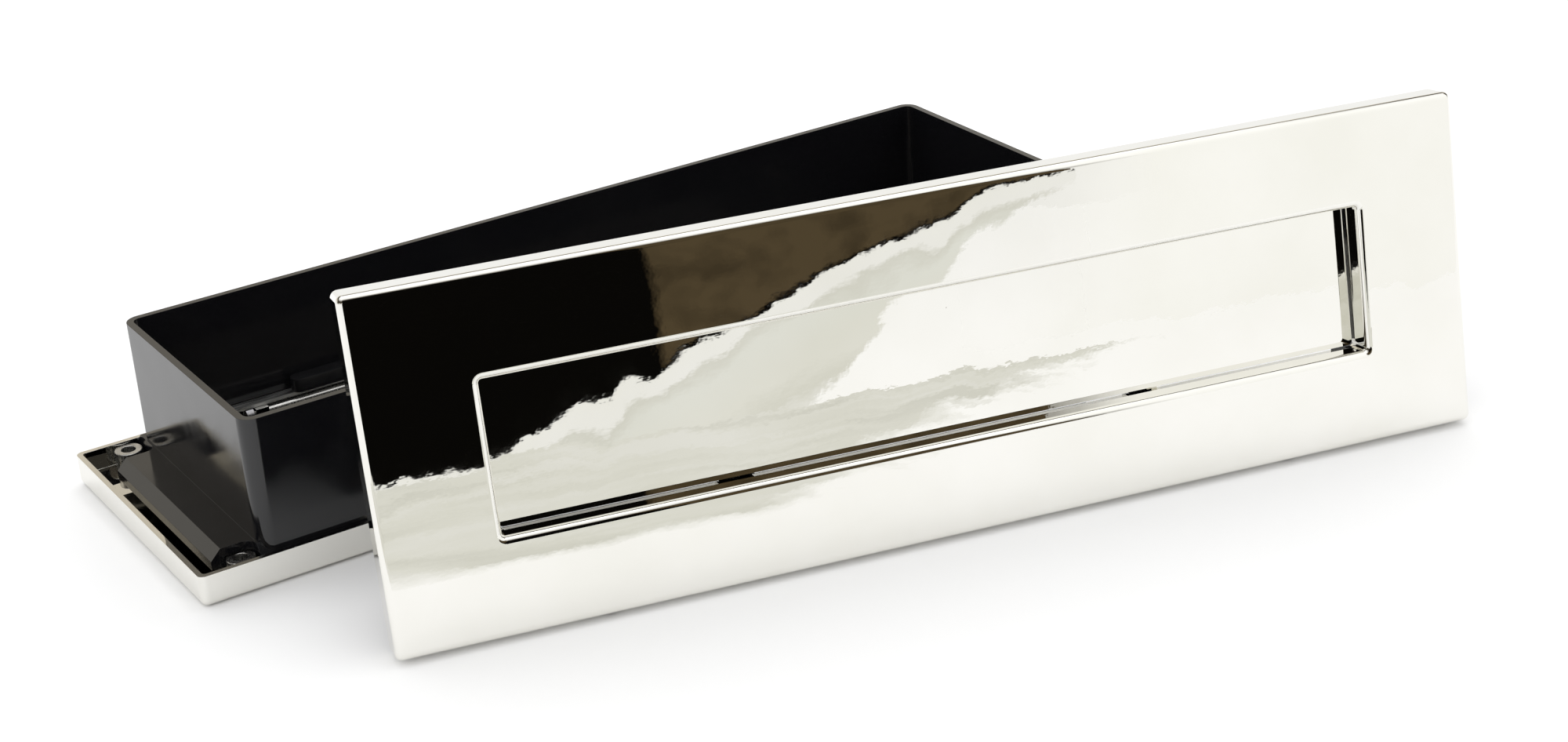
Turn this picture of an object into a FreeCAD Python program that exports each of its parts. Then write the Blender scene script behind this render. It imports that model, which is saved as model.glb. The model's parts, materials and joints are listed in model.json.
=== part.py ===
import FreeCAD, Part
import math
import os
import re
import Sketcher

# Letter plate set, millimetres, +Z up, in two units that lie as they come out of the box.
#
# Each unit is modelled in a frame of its own: the polished face lies at height 0 and looks down,
# the dished back opens upwards, X runs along the plate and +Y is the hinge side.  The outer unit
# (street side) stays like that.  The inner unit (room side) is stood up on its lower edge in front
# of it and leans back on the end of its own sleeve.  The origin is the centre of the set's
# footprint, on the surface that both units stand on.

SIZES = {
    # plate, the same casting outline for both units
    "plate_length": 315.0,
    "plate_width": 96.0,
    "plate_depth": 9.3,
    "plate_corner": 2.0,
    "face_skin": 3.0,
    "rim_wall": 1.6,
    "rim_round": 1.8,
    # aperture and the wall round it
    "aperture_half": 125.6,
    "aperture_top": 20.4,
    "aperture_low": 21.2,
    "aperture_corner": 1.0,
    "aperture_round": 2.0,
    "aperture_wall": 2.0,
    "wall_top": 8.9,
    "hinge_pocket_top": 26.0,
    # flaps
    "flap_front": 8.0,
    "flap_skin": 2.2,
    "flap_gap": 0.5,
    "flap_corner": 1.5,
    "flap_edge": 0.6,
    "running_fit": 0.05,
    # outer unit: rod, lugs, knuckles and springs
    "rod_radius": 1.25,
    "rod_y": 37.2,
    "rod_z": 10.2,
    "lug_x": 104.0,
    "lug_width": 4.0,
    "lug_half_depth": 2.5,
    "lug_top": 12.4,
    "clip_width": 2.5,
    "clip_radius": 2.2,
    "clip_gap": 0.3,
    "arm_x": 45.0,
    "arm_width": 9.0,
    "arm_low": 9.2,
    "arm_high": 10.7,
    "arm_root": 6.0,
    "knuckle_radius": 2.0,
    "spring_length": 11.0,
    "spring_gap": 0.4,
    "buffer_low": 24.0,
    "buffer_high": 32.0,
    "buffer_width": 7.0,
    # outer unit: strip over the rod, its posts and the bar on it
    "strip_half": 128.0,
    "strip_low": 36.4,
    "strip_high": 40.2,
    "strip_z": 12.5,
    "strip_skin": 1.0,
    "post_x": 118.0,
    "post_width": 6.0,
    "post_depth": 4.0,
    "bar_half": 93.0,
    "bar_low": 35.0,
    "bar_depth": 5.2,
    "bar_thickness": 4.2,
    "bar_end_flat": 0.01,
    "bar_peg_x": 70.0,
    "bar_peg_radius": 1.2,
    "strip_screw_radius": 1.2,
    "strip_screw_head": 1.8,
    "strip_screw_depth": 7.0,
    "strip_screw_head_depth": 1.4,
    # outer unit: corner bosses with M5 threads
    "boss_x": 143.5,
    "boss_y": 42.2,
    "boss_radius": 4.1,
    "boss_top": 8.6,
    "tapped_radius": 2.1,
    # outer sleeve
    "duct_half": 138.6,
    "duct_low": 45.6,
    "duct_high": 42.6,
    "duct_wall": 2.1,
    "duct_corner": 4.5,
    "duct_end": 48.4,
    "collar_half": 151.0,
    "collar_side": 46.3,
    "collar_low": 5.7,
    "collar_high": 11.5,
    "collar_corner": 4.0,
    "collar_bevel": 3.1,
    "ear_half": 139.0,
    "ear_low": 39.6,
    "ear_high": 31.0,
    "ear_corner": 3.0,
    "relief_gap": 0.3,
    # outer sleeve's tabs and their screws
    "tab_x": 131.0,
    "tab_low": 38.0,
    "tab_high": 30.0,
    "tab_width": 9.0,
    "tab_base": 5.5,
    "tab_skin": 1.5,
    "tab_post_radius": 3.2,
    "tab_screw_radius": 1.2,
    "tab_screw_head": 2.8,
    "tab_screw_head_depth": 1.8,
    "tab_screw_depth": 3.3,
    # inner unit: rod behind the upper lip, knuckles and springs
    "pin_radius": 1.1,
    "pin_y": 22.9,
    "pin_z": 9.1,
    "pin_lug_width": 4.2,
    "pin_lug_half": 2.5,
    "pin_lug_top": 11.5,
    "pin_clip_width": 1.6,
    "roll_radius": 1.9,
    "spring_from": 95.0,
    "spring_to": 107.0,
    "stop_x": 60.0,
    "stop_width": 10.0,
    "stop_reach": 17.0,
    "stop_base": 12.0,
    "stop_top": 13.6,
    "stop_pad_y": 19.2,
    "stop_pad_radius": 2.0,
    "stop_pad_low": 10.5,
    # inner unit: hooks and grub screws that hold the plate on its sleeve's collar
    "hook_x": 90.0,
    "hook_width": 12.0,
    "hook_reach": 44.4,
    "hook_base": 7.0,
    "hook_top": 9.0,
    "grub_x": 100.0,
    "grub_z": 5.0,
    "grub_radius": 1.5,
    "grub_start": 47.9,
    "grub_end": 44.6,
    # inner sleeve
    "slider_half": 135.6,
    "slider_low": 42.7,
    "slider_high": 39.7,
    "slider_wall": 2.0,
    "slider_corner": 4.0,
    "slider_end": 36.7,
    "slider_collar_side": 46.2,
    "slider_collar_top": 6.8,
    "slider_grub_room": 0.1,
    "slider_boss_radius": 4.1,
    "slider_boss_top": 12.5,
    "bolt_radius": 2.75,
    "bolt_sink_radius": 3.9,
    # where the inner unit stands, from the centre of the outer plate to the centre of its face
    "stand_x": 25.0,
    "stand_y": -137.6,
    "stand_yaw": 13.44,
}

# How far a cutting tool passes a face, how closely an edge must lie in a plane, and the size of a
# rectangle before its formulas act.
OVERCUT = "1"
SIDES = {"left": -1, "right": 1}
FLAT = 1e-6
FIRST_SIZE = 10
ALONG = {
    "x": FreeCAD.Rotation(FreeCAD.Vector(0, 1, 0), 90),
    "y": FreeCAD.Rotation(FreeCAD.Vector(1, 0, 0), -90),
    "z": FreeCAD.Rotation(),
}

os.makedirs("parts", exist_ok=True)
doc = FreeCAD.newDocument("letter_plate")


# ---- the sheet, and formulas bound to it ----

def make_sheet():
    """The driving dimensions: names in column A, numbers with aliases in column B."""
    cells = doc.addObject("Spreadsheet::Sheet", "Sizes")
    for row, (word, number) in enumerate(SIZES.items(), start=1):
        cells.set(f"A{row}", word)
        cells.set(f"B{row}", str(number))
        cells.setAlias(f"B{row}", word)
    doc.recompute()
    return cells


sheet = make_sheet()
WORDS = re.compile(r"\b(" + "|".join(SIZES) + r")\b")


def bind(thing, prop, formula):
    """Drive a property by a formula of sheet words."""
    thing.setExpression(prop, WORDS.sub(r"Sizes.\1", formula))


def put(thing, x, y, z):
    """Drive an object's own position by three formulas."""
    for axis, formula in zip("xyz", (x, y, z)):
        bind(thing, "Placement.Base." + axis, formula)


def about(centre, width):
    """A (low, high) pair of formulas for a width about a centre."""
    return f"{centre} - ({width}) / 2", f"{centre} + ({width}) / 2"


def span(pair):
    """The formula for the distance between a (low, high) pair."""
    return f"({pair[1]}) - ({pair[0]})"


# ---- simple solids ----

def box(name, x, y, z):
    """A plain box between (low, high) formulas."""
    block = doc.addObject("Part::Box", name)
    for prop, pair in zip(("Length", "Width", "Height"), (x, y, z)):
        bind(block, prop, span(pair))
    put(block, x[0], y[0], z[0])
    return block


def cylinder(name, axis, start, length, radius):
    """A round bar that starts at a point and runs along an axis."""
    bar = doc.addObject("Part::Cylinder", name)
    bar.Placement = FreeCAD.Placement(FreeCAD.Vector(), ALONG[axis])
    bind(bar, "Radius", radius)
    bind(bar, "Height", length)
    put(bar, *start)
    return bar


def cone(name, start, length, first_radius, last_radius):
    """An upright cone that starts at a point."""
    sink = doc.addObject("Part::Cone", name)
    bind(sink, "Radius1", first_radius)
    bind(sink, "Radius2", last_radius)
    bind(sink, "Height", length)
    put(sink, *start)
    return sink


def fuse(name, pieces):
    """One object from several; those that don't touch stay separate solids."""
    joined = doc.addObject("Part::MultiFuse", name)
    joined.Shapes = pieces
    joined.Refine = True
    return joined


def cut(name, base, tools):
    """The base less all the tools."""
    tool = tools[0] if len(tools) == 1 else fuse(name + "_tools", tools)
    rest = doc.addObject("Part::Cut", name)
    rest.Base = base
    rest.Tool = tool
    rest.Refine = True
    return rest


# ---- sketched solids ----

def rectangle(sketch, length, width):
    """A fully constrained rectangle with its first corner at the sketch's origin."""
    start = FreeCAD.Vector(0, 0)
    corners = [start, FreeCAD.Vector(FIRST_SIZE, 0), FreeCAD.Vector(FIRST_SIZE, FIRST_SIZE),
               FreeCAD.Vector(0, FIRST_SIZE)]
    for first, second in zip(corners, corners[1:] + [start]):
        sketch.addGeometry(Part.LineSegment(first, second))
    for line in range(4):
        sketch.addConstraint(Sketcher.Constraint("Coincident", line, 2, (line + 1) % 4, 1))
        level = "Vertical" if line % 2 else "Horizontal"
        sketch.addConstraint(Sketcher.Constraint(level, line))
    sketch.addConstraint(Sketcher.Constraint("Coincident", 0, 1, -1, 1))
    for kind, line, word, formula in (("DistanceX", 0, "length", length),
                                      ("DistanceY", 1, "width", width)):
        index = sketch.addConstraint(Sketcher.Constraint(kind, line, 1, line, 2, FIRST_SIZE))
        sketch.renameConstraint(index, word)
        bind(sketch, "Constraints." + word, formula)


def upright(edge, shape):
    """Whether an edge stands up."""
    ends = [vertex.Point for vertex in edge.Vertexes]
    return len(ends) == 2 and math.hypot(ends[0].x - ends[1].x, ends[0].y - ends[1].y) < FLAT


def lowest(edge, shape):
    """Whether an edge lies in the shape's lowest plane."""
    return edge.BoundBox.ZMax < shape.BoundBox.ZMin + FLAT


def highest(edge, shape):
    """Whether an edge lies in the shape's highest plane."""
    return edge.BoundBox.ZMin > shape.BoundBox.ZMax - FLAT


def dress(body, kind, prop, which, amount):
    """Round or bevel the edges of the body's last feature that pass a test."""
    doc.recompute()
    last = body.Tip
    names = [f"Edge{i}" for i, edge in enumerate(last.Shape.Edges, 1) if which(edge, last.Shape)]
    feature = body.newObject("PartDesign::" + kind, f"{body.Name}_{which.__name__}_{kind.lower()}")
    feature.Base = (last, names)
    bind(feature, prop, amount)


def rounded_block(name, x, y, z, corner, lower=None, bevel=None):
    """A rectangle padded upwards with its upright corners rounded.  lower rounds the outline of its
    underside, and bevel cuts the outline of its top at 45 degrees."""
    body = doc.addObject("PartDesign::Body", name)
    sketch = body.newObject("Sketcher::SketchObject", name + "_outline")
    plane = next(item for item in body.Origin.OriginFeatures if item.Role == "XY_Plane")
    sketch.AttachmentSupport = (plane, [""])
    sketch.MapMode = "FlatFace"
    rectangle(sketch, span(x), span(y))
    pad = body.newObject("PartDesign::Pad", name + "_pad")
    pad.Profile = sketch
    bind(pad, "Length", span(z))
    put(body, x[0], y[0], z[0])
    dress(body, "Fillet", "Radius", upright, corner)
    if lower:
        dress(body, "Fillet", "Radius", lowest, lower)
    if bevel:
        dress(body, "Chamfer", "Size", highest, bevel)
    doc.recompute()
    return body


# ---- what both units share ----

APERTURE_X = ("-aperture_half", "aperture_half")
APERTURE_Y = ("-aperture_low", "aperture_top")
BOSS_ROWS = (("near", "-boss_y"), ("far", "boss_y"))
TAB_ROWS = (("near", "-tab_low"), ("far", "tab_high"))


def plate_shell(unit):
    """The dished plate with its rounded aperture, before walls and lugs are added."""
    outside = rounded_block(unit + "_outside", about("0", "plate_length"), about("0", "plate_width"),
                            ("0", "plate_depth"), "plate_corner", lower="rim_round")
    dish = rounded_block(unit + "_dish", about("0", "plate_length - 2 * rim_wall"),
                         about("0", "plate_width - 2 * rim_wall"),
                         ("face_skin", "plate_depth + " + OVERCUT), "plate_corner / 2")
    aperture = rounded_block(unit + "_aperture", APERTURE_X, APERTURE_Y, ("-" + OVERCUT, "plate_depth"),
                             "aperture_corner")
    plain = cut(unit + "_plain", outside, [dish, aperture])
    doc.recompute()
    shell = doc.addObject("Part::Fillet", unit + "_shell")
    shell.Base = plain
    radius = sheet.get("aperture_round")
    reach = sheet.get("aperture_half") + radius
    rim = [number for number, edge in enumerate(plain.Shape.Edges, 1)
           if lowest(edge, plain.Shape) and -reach < edge.BoundBox.XMin and edge.BoundBox.XMax < reach]
    shell.Edges = [(number, radius, radius) for number in rim]
    return shell


def aperture_ring(unit, top):
    """The wall that stands round the aperture on the back, up to a top edge along Y."""
    outside = rounded_block(unit + "_ring_outside", about("0", "2 * (aperture_half + aperture_wall)"),
                            ("-aperture_low - aperture_wall", top + " + aperture_wall"),
                            ("face_skin", "wall_top"), "aperture_wall")
    inside = rounded_block(unit + "_ring_inside", APERTURE_X, ("-aperture_low", top),
                           ("face_skin - " + OVERCUT, "wall_top + " + OVERCUT), "aperture_corner")
    return cut(unit + "_ring", outside, [inside])


def flap_panel(unit, top):
    """The flap's panel, less its gap to the aperture on three sides, up to a top edge along Y."""
    return rounded_block(unit + "_panel", about("0", "2 * (aperture_half - flap_gap)"),
                         ("-aperture_low + flap_gap", top), ("flap_front", "flap_front + flap_skin"),
                         "flap_corner", lower="flap_edge")


def tube(name, start, length, outer, inner):
    """A plain tube along X."""
    x, y, z = start
    solid = cylinder(name + "_solid", "x", start, length, outer)
    bore = cylinder(name + "_bore", "x", (f"{x} - {OVERCUT}", y, z), f"{length} + 2 * {OVERCUT}", inner)
    return cut(name, solid, [bore])


# ---- outer unit ----

def outer_frame():
    """Casting: dish, aperture wall, two hinge lugs, two strip posts and four sleeve posts."""
    pieces = [plate_shell("outer"), aperture_ring("outer", "aperture_top")]
    holes = [cylinder("outer_rod_bore", "x", ("-lug_x - lug_width", "rod_y", "rod_z"),
                      "2 * (lug_x + lug_width)", "rod_radius + running_fit")]
    for tag, side in SIDES.items():
        pieces.append(box(f"outer_lug_{tag}", about(f"{side} * lug_x", "lug_width"),
                          about("rod_y", "2 * lug_half_depth"), ("face_skin", "lug_top")))
        pieces.append(box(f"outer_post_{tag}", about(f"{side} * post_x", "post_width"),
                          about("(strip_low + strip_high) / 2", "post_depth"),
                          ("face_skin", "strip_z")))
        holes.append(cylinder(f"outer_post_hole_{tag}", "z",
                              (f"{side} * post_x", "(strip_low + strip_high) / 2",
                               "strip_z - strip_screw_depth - running_fit"),
                              "strip_screw_depth + " + OVERCUT, "strip_screw_radius + running_fit"))
        for end, y in TAB_ROWS:
            place = (f"{side} * tab_x", y)
            pieces.append(cylinder(f"outer_tab_post_{tag}_{end}", "z", (*place, "face_skin"),
                                   "tab_base - face_skin", "tab_post_radius"))
            holes.append(cylinder(f"outer_tab_hole_{tag}_{end}", "z",
                                  (*place, "tab_base - tab_screw_depth - running_fit"),
                                  "tab_screw_depth + " + OVERCUT, "tab_screw_radius + running_fit"))
    return cut("outer_frame", fuse("outer_casting", pieces), holes)


def outer_threaded_bosses():
    """Four tapped bosses brazed on the dish's floor, for the bolts that come through the door."""
    bosses = []
    for tag, side in SIDES.items():
        for end, y in BOSS_ROWS:
            place = (f"{side} * boss_x", y)
            solid = cylinder(f"outer_boss_{tag}_{end}", "z", (*place, "face_skin"),
                             "boss_top - face_skin", "boss_radius")
            bore = cylinder(f"outer_boss_bore_{tag}_{end}", "z", (*place, "face_skin - " + OVERCUT),
                            "boss_top - face_skin + 2 * " + OVERCUT, "tapped_radius")
            bosses.append(cut(f"outer_boss_tapped_{tag}_{end}", solid, [bore]))
    return fuse("outer_threaded_bosses", bosses)


def outer_flap():
    """Panel with two arms that reach over the aperture wall to knuckles on the rod."""
    pieces = [flap_panel("outer", "aperture_top - flap_gap")]
    for tag, side in SIDES.items():
        across = about(f"{side} * arm_x", "arm_width")
        pieces.append(box(f"outer_arm_{tag}", across, ("arm_root", "rod_y"), ("arm_low", "arm_high")))
        pieces.append(cylinder(f"outer_knuckle_{tag}", "x", (across[0], "rod_y", "rod_z"),
                               "arm_width", "knuckle_radius"))
    bore = cylinder("outer_knuckle_bore", "x", ("-lug_x", "rod_y", "rod_z"), "2 * lug_x",
                    "rod_radius + running_fit")
    return cut("outer_flap", fuse("outer_flap_solid", pieces), [bore])


def outer_hinge_rod():
    """Steel rod through both lugs, long enough for a cap at each end."""
    reach = "lug_x + lug_width / 2 + clip_gap + clip_width"
    return cylinder("outer_hinge_rod", "x", (f"-({reach})", "rod_y", "rod_z"), f"2 * ({reach})",
                    "rod_radius")


def outer_rod_clips():
    """A push-on cap at each end of the rod."""
    clips = []
    for tag, start in (("left", "-lug_x - lug_width / 2 - clip_gap - clip_width"),
                       ("right", "lug_x + lug_width / 2 + clip_gap")):
        clips.append(tube(f"outer_clip_{tag}", (start, "rod_y", "rod_z"), "clip_width", "clip_radius",
                          "rod_radius + running_fit / 2"))
    return fuse("outer_rod_clips", clips)


def outer_spring(tag):
    """The closed outer shape of a torsion spring that sits on the rod beside an arm."""
    start = "arm_x + arm_width / 2 + spring_gap"
    if tag == "left":
        start = f"-({start}) - spring_length"
    return tube(f"outer_flap_spring_{tag}", (start, "rod_y", "rod_z"), "spring_length",
                "knuckle_radius", "rod_radius + 2 * running_fit")


def outer_hinge_bracket():
    """Steel strip over the rod, on the two posts, with holes for its screws and the bar's pegs."""
    middle = "(strip_low + strip_high) / 2"
    strip = box("outer_strip", about("0", "2 * strip_half"), ("strip_low", "strip_high"),
                ("strip_z", "strip_z + strip_skin"))
    holes = []
    for tag, side in SIDES.items():
        for word, place, radius in (("screw", "post_x", "strip_screw_radius"),
                                    ("peg", "bar_peg_x", "bar_peg_radius")):
            holes.append(cylinder(f"outer_strip_{word}_hole_{tag}", "z",
                                  (f"{side} * {place}", middle, "strip_z - " + OVERCUT),
                                  "strip_skin + 2 * " + OVERCUT, radius + " + running_fit"))
    return cut("outer_hinge_bracket", strip, holes)


def outer_hinge_bar():
    """Bar with round ends on the strip, located by two pegs."""
    middle = "(strip_low + strip_high) / 2"
    pieces = [rounded_block("outer_bar", about("0", "2 * bar_half"), ("bar_low", "bar_low + bar_depth"),
                            ("strip_z + strip_skin", "strip_z + strip_skin + bar_thickness"),
                            "bar_depth / 2 - bar_end_flat")]
    for tag, side in SIDES.items():
        pieces.append(cylinder(f"outer_bar_peg_{tag}", "z", (f"{side} * bar_peg_x", middle, "strip_z"),
                               "strip_skin + " + OVERCUT, "bar_peg_radius"))
    return fuse("outer_hinge_bar", pieces)


def screw(name, place, seat, shank_radius, depth, head_radius, head_depth):
    """A screw that points down from a seat."""
    x, y = place
    shank = cylinder(name + "_shank", "z", (x, y, f"{seat} - ({depth})"), depth, shank_radius)
    head = cylinder(name + "_head", "z", (x, y, seat), head_depth, head_radius)
    return fuse(name, [shank, head])


def outer_bracket_screws():
    """Two screws that hold the strip on its posts."""
    middle = "(strip_low + strip_high) / 2"
    return fuse("outer_bracket_screws", [
        screw(f"outer_bracket_screw_{tag}", (f"{side} * post_x", middle),
              "strip_z + strip_skin", "strip_screw_radius", "strip_screw_depth",
              "strip_screw_head", "strip_screw_head_depth")
        for tag, side in SIDES.items()])


def outer_flap_buffers():
    """A rubber pad under each arm."""
    return fuse("outer_flap_buffers", [
        rounded_block(f"outer_buffer_{tag}", about(f"{side} * arm_x", "buffer_width"),
                      ("buffer_low", "buffer_high"), ("face_skin", "wall_top"), "plate_corner / 2")
        for tag, side in SIDES.items()])


def outer_sleeve():
    """Duct with a bevelled collar, ears at both ends and four screw tabs inside."""
    duct = rounded_block("outer_duct", about("0", "2 * duct_half"), ("-duct_low", "duct_high"),
                         ("face_skin", "duct_end"), "duct_corner")
    collar = rounded_block("outer_collar", about("0", "2 * collar_half"), about("0", "2 * collar_side"),
                           ("collar_low", "collar_high"), "collar_corner", bevel="collar_bevel")
    inside = rounded_block("outer_duct_inside", about("0", "2 * (duct_half - duct_wall)"),
                           ("-duct_low + duct_wall", "duct_high - duct_wall"),
                           ("face_skin - " + OVERCUT, "duct_end + " + OVERCUT), "duct_corner - duct_wall")
    tools = [inside]
    tabs = []
    holes = []
    for tag, side in SIDES.items():
        notch_x = ("ear_half", "collar_half + 2 * ear_corner")
        if side < 0:
            notch_x = ("-collar_half - 2 * ear_corner", "-ear_half")
        for end, notch_y, boss, tab in (
                ("near", ("-collar_side - 2 * ear_corner", "-ear_low"), "-boss_y", "-tab_low"),
                ("far", ("ear_high", "collar_side + 2 * ear_corner"), "boss_y", "tab_high")):
            tools.append(rounded_block(f"outer_notch_{tag}_{end}", notch_x, notch_y,
                                       ("collar_low - " + OVERCUT, "collar_high + " + OVERCUT),
                                       "ear_corner"))
            tools.append(cylinder(f"outer_relief_{tag}_{end}", "z",
                                  (f"{side} * boss_x", boss, "collar_low - " + OVERCUT),
                                  "boss_top + relief_gap - collar_low + " + OVERCUT,
                                  "boss_radius + relief_gap"))
            tab_x = ("tab_x - tab_width / 2", "duct_half - duct_wall / 2")
            if side < 0:
                tab_x = ("-duct_half + duct_wall / 2", "-tab_x + tab_width / 2")
            tabs.append(box(f"outer_tab_{tag}_{end}", tab_x, about(tab, "tab_width"),
                            ("tab_base", "tab_base + tab_skin")))
            holes.append(cylinder(f"outer_tab_clearance_{tag}_{end}", "z",
                                  (f"{side} * tab_x", tab, "tab_base - " + OVERCUT),
                                  "tab_skin + 2 * " + OVERCUT, "tab_screw_radius + 2 * running_fit"))
    hollow = cut("outer_duct_hollow", fuse("outer_duct_solid", [duct, collar]), tools)
    return cut("outer_sleeve", fuse("outer_duct_tabbed", [hollow] + tabs), holes)


def outer_sleeve_screws():
    """Four screws that hold the sleeve's tabs on the frame's posts."""
    return fuse("outer_sleeve_screws", [
        screw(f"outer_sleeve_screw_{tag}_{end}", (f"{side} * tab_x", y),
              "tab_base + tab_skin", "tab_screw_radius", "tab_skin + tab_screw_depth",
              "tab_screw_head", "tab_screw_head_depth")
        for tag, side in SIDES.items() for end, y in TAB_ROWS])


# ---- inner unit ----

def inner_frame():
    """Casting: dish, aperture wall with a pocket for the hinge, lugs, flap stops and two hooks."""
    pieces = [plate_shell("inner"), aperture_ring("inner", "hinge_pocket_top")]
    holes = [cylinder("inner_rod_bore", "x", ("-aperture_half - 2 * pin_lug_width", "pin_y", "pin_z"),
                      "2 * (aperture_half + 2 * pin_lug_width)", "pin_radius + running_fit")]
    for tag, side in SIDES.items():
        lug_x = ("aperture_half", "aperture_half + pin_lug_width")
        if side < 0:
            lug_x = ("-aperture_half - pin_lug_width", "-aperture_half")
        pieces.append(box(f"inner_lug_{tag}", lug_x, about("pin_y", "2 * pin_lug_half"),
                          ("face_skin", "pin_lug_top")))
        stop_x = about(f"{side} * stop_x", "stop_width")
        pieces.append(box(f"inner_stop_post_{tag}", stop_x,
                          ("-aperture_low - aperture_wall", "-aperture_low"), ("face_skin", "stop_top")))
        pieces.append(box(f"inner_stop_{tag}", stop_x, ("-aperture_low", "-stop_reach"),
                          ("stop_base", "stop_top")))
        pieces.append(box(f"inner_hook_{tag}", about(f"{side} * hook_x", "hook_width"),
                          ("hook_reach", "plate_width / 2 - rim_wall / 2"), ("hook_base", "hook_top")))
        holes.append(cylinder(f"inner_grub_hole_{tag}", "y",
                              (f"{side} * grub_x", "-plate_width / 2 - " + OVERCUT, "grub_z"),
                              "rim_wall + 2 * " + OVERCUT, "grub_radius + running_fit"))
    return cut("inner_frame", fuse("inner_casting", pieces), holes)


def inner_flap():
    """Panel with a rolled top edge on the rod, cut back where the springs sit."""
    panel = flap_panel("inner", "pin_y")
    gaps = []
    rolls = [cylinder("inner_roll_middle", "x", ("-spring_from", "pin_y", "pin_z"), "2 * spring_from",
                      "roll_radius")]
    end = "aperture_half - flap_gap"
    for tag, side in SIDES.items():
        gap_x = ("spring_from", "spring_to") if side > 0 else ("-spring_to", "-spring_from")
        start = "spring_to" if side > 0 else f"-({end})"
        gaps.append(box(f"inner_spring_space_{tag}", gap_x,
                        ("pin_y - roll_radius - spring_gap", "pin_y + " + OVERCUT),
                        ("flap_front - " + OVERCUT, "flap_front + flap_skin + " + OVERCUT)))
        rolls.append(cylinder(f"inner_roll_{tag}", "x", (start, "pin_y", "pin_z"), f"{end} - spring_to",
                              "roll_radius"))
    bore = cylinder("inner_roll_bore", "x", ("-aperture_half", "pin_y", "pin_z"), "2 * aperture_half",
                    "pin_radius + running_fit")
    notched = cut("inner_panel_notched", panel, gaps)
    return cut("inner_flap", fuse("inner_flap_solid", [notched] + rolls), [bore])


def inner_hinge_rod():
    """Steel rod behind the upper lip."""
    reach = "aperture_half + pin_lug_width + clip_gap + pin_clip_width"
    return cylinder("inner_hinge_rod", "x", (f"-({reach})", "pin_y", "pin_z"), f"2 * ({reach})",
                    "pin_radius")


def inner_rod_clips():
    """A push-on cap at each end of the rod."""
    clips = []
    for tag, start in (("left", "-aperture_half - pin_lug_width - clip_gap - pin_clip_width"),
                       ("right", "aperture_half + pin_lug_width + clip_gap")):
        clips.append(tube(f"inner_clip_{tag}", (start, "pin_y", "pin_z"), "pin_clip_width", "clip_radius",
                          "pin_radius + running_fit / 2"))
    return fuse("inner_rod_clips", clips)


def inner_spring(tag):
    """The closed outer shape of a torsion spring in a gap of the rolled edge."""
    length = "spring_to - spring_from - 2 * spring_gap"
    start = "-spring_to + spring_gap" if tag == "left" else "spring_from + spring_gap"
    return tube(f"inner_flap_spring_{tag}", (start, "pin_y", "pin_z"), length, "roll_radius",
                "pin_radius + 2 * running_fit")


def inner_flap_buffers():
    """A round rubber pad under each stop."""
    return fuse("inner_flap_buffers", [
        cylinder(f"inner_buffer_{tag}", "z",
                 (f"{side} * stop_x", "-stop_pad_y", "stop_pad_low"), "stop_base - stop_pad_low",
                 "stop_pad_radius")
        for tag, side in SIDES.items()])


def inner_sleeve():
    """Duct that slides inside the outer one, with a bolted collar and four corner bosses."""
    duct = rounded_block("inner_duct", about("0", "2 * slider_half"), ("-slider_low", "slider_high"),
                         ("face_skin", "slider_end"), "slider_corner")
    collar = rounded_block("inner_collar", about("0", "2 * collar_half"),
                           about("0", "2 * slider_collar_side"), ("face_skin", "slider_collar_top"),
                           "plate_corner")
    inside = rounded_block("inner_duct_inside", about("0", "2 * (slider_half - slider_wall)"),
                           ("-slider_low + slider_wall", "slider_high - slider_wall"),
                           ("face_skin - " + OVERCUT, "slider_end + " + OVERCUT),
                           "slider_corner - slider_wall")
    pieces = [duct, collar]
    tools = [inside]
    for tag, side in SIDES.items():
        for end, y in BOSS_ROWS:
            x = f"{side} * boss_x"
            pieces.append(cylinder(f"inner_boss_{tag}_{end}", "z", (x, y, "face_skin"),
                                   "slider_boss_top - face_skin", "slider_boss_radius"))
            tools.append(cylinder(f"inner_bolt_hole_{tag}_{end}", "z", (x, y, "face_skin - " + OVERCUT),
                                  "slider_boss_top - face_skin + 2 * " + OVERCUT, "bolt_radius"))
            tools.append(cone(f"inner_bolt_sink_{tag}_{end}", (x, y, "face_skin"),
                              "bolt_sink_radius - bolt_radius", "bolt_sink_radius", "bolt_radius"))
        tools.append(cylinder(f"inner_grub_seat_{tag}", "y",
                              (f"{side} * grub_x", "-slider_collar_side - " + OVERCUT, "grub_z"),
                              "slider_collar_side - grub_end + slider_grub_room + " + OVERCUT,
                              "grub_radius + 2 * running_fit"))
    return cut("inner_sleeve", fuse("inner_duct_solid", pieces), tools)


def inner_grub_screws():
    """Two grub screws through the lower rim into the sleeve's collar."""
    return fuse("inner_grub_screws", [
        cylinder(f"inner_grub_{tag}", "y",
                 (f"{side} * grub_x", "-grub_start", "grub_z"), "grub_start - grub_end", "grub_radius")
        for tag, side in SIDES.items()])


# ---- the set ----

OUTER = [
    outer_frame(), outer_threaded_bosses(), outer_flap(), outer_hinge_rod(), outer_rod_clips(),
    outer_spring("left"), outer_spring("right"), outer_hinge_bracket(), outer_hinge_bar(),
    outer_bracket_screws(), outer_flap_buffers(), outer_sleeve(), outer_sleeve_screws(),
]
INNER = [
    inner_frame(), inner_flap(), inner_hinge_rod(), inner_rod_clips(),
    inner_spring("left"), inner_spring("right"), inner_flap_buffers(), inner_sleeve(),
    inner_grub_screws(),
]


def lean_angle():
    """How far the inner unit leans back when its sleeve's lower end edge touches the ground."""
    rise = sheet.get("plate_width") / 2 - sheet.get("slider_low")
    run = sheet.get("slider_end") - sheet.get("plate_depth")
    return math.degrees(math.atan2(rise, run))


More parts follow.
